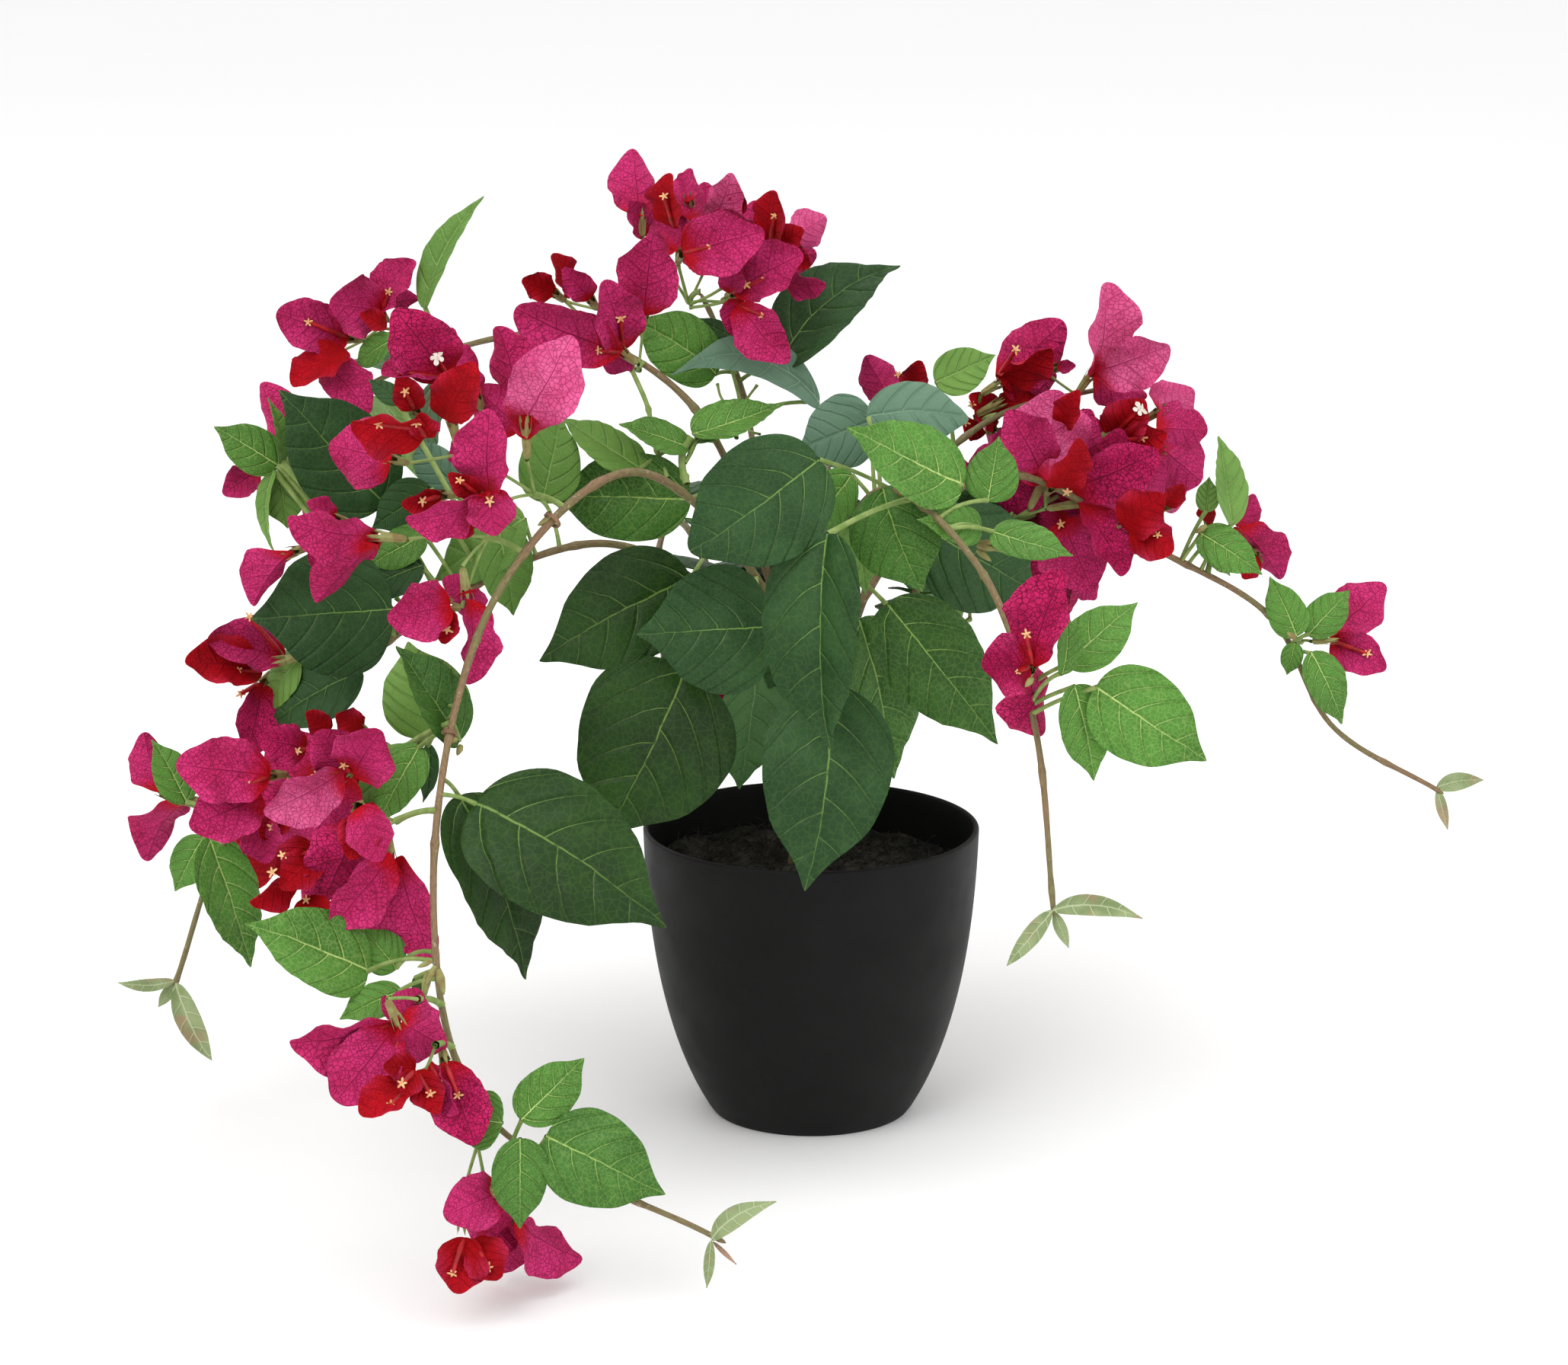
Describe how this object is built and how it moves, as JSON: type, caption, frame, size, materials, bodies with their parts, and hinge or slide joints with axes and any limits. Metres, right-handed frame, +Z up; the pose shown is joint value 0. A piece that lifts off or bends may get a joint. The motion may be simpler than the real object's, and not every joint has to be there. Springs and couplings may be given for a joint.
{
  "type": "artificial potted bougainvillea",
  "caption": "Artificial bougainvillea in a round black pot, with trailing stems, green leaves and pink papery bracts.",
  "frame": {"origin": "centre of the pot's flat underside", "axes": "+Z up the pot's axis, +X to the plant's right and +Y to its back, seen from the front"},
  "size_m": [0.6215, 0.5071, 0.4186],
  "materials": {
    "pot": "matte",
    "moss": "matte",
    "bark": "satin",
    "leaf": "satin",
    "bract": "matte",
    "young_leaf": "matte"
  },
  "bodies": {
    "root": {"pot": "pot", "moss_fill": "moss", "main_stem": "bark", "back_left_stem_1": "bark", "back_left_stem_2": "bark", "back_right_stem_1": "bark", "front_left_stem_1": "bark", "front_left_stem_2": "bark", "front_left_stem_3": "bark", "front_right_stem_1": "bark", "front_right_stem_2": "bark", "left_stem_1": "bark", "left_stem_2": "bark", "rear_left_stem_1": "bark", "rear_right_stem_1": "bark", "rear_stem_1": "bark", "right_stem_1": "bark", "right_stem_2": "bark", "right_stem_3": "bark", "top_stem_1": "bark", "crown_leaves": "leaf", "front_leaves": "leaf", "front_left_leaves": "leaf", "left_skirt_leaves": "leaf", "right_skirt_leaves": "leaf", "left_heart_leaves": "leaf", "rear_left_leaves": "leaf", "rear_right_leaves": "leaf", "top_blossom": "bract", "second_blossom": "bract", "top_leaves": "leaf", "front_left_high_blossom": "bract", "front_left_hanging_blossom": "bract", "front_left_middle_blossom": "bract", "front_left_big_blossom": "bract", "front_left_middle_leaves": "leaf", "front_left_low_blossom": "bract", "front_left_low_leaves": "leaf", "front_left_end_leaves": "leaf", "front_left_end_blossom": "bract", "front_left_tip": "young_leaf", "left_middle_leaves": "leaf", "left_high_leaves": "leaf", "left_blossom": "bract", "left_end_spray": "bract", "left_tip": "young_leaf", "back_left_blossom": "bract", "back_left_leaves": "leaf", "back_left_spike": "young_leaf", "right_blossom": "bract", "right_high_blossom": "bract", "right_leaves": "leaf", "right_end_spray": "leaf", "right_tip": "young_leaf", "front_right_blossom": "bract", "front_right_leaves": "leaf", "front_right_tip": "young_leaf", "rear_blossom": "bract", "rear_left_spray": "leaf", "rear_right_spray": "bract"}
  },
  "joints": []
}
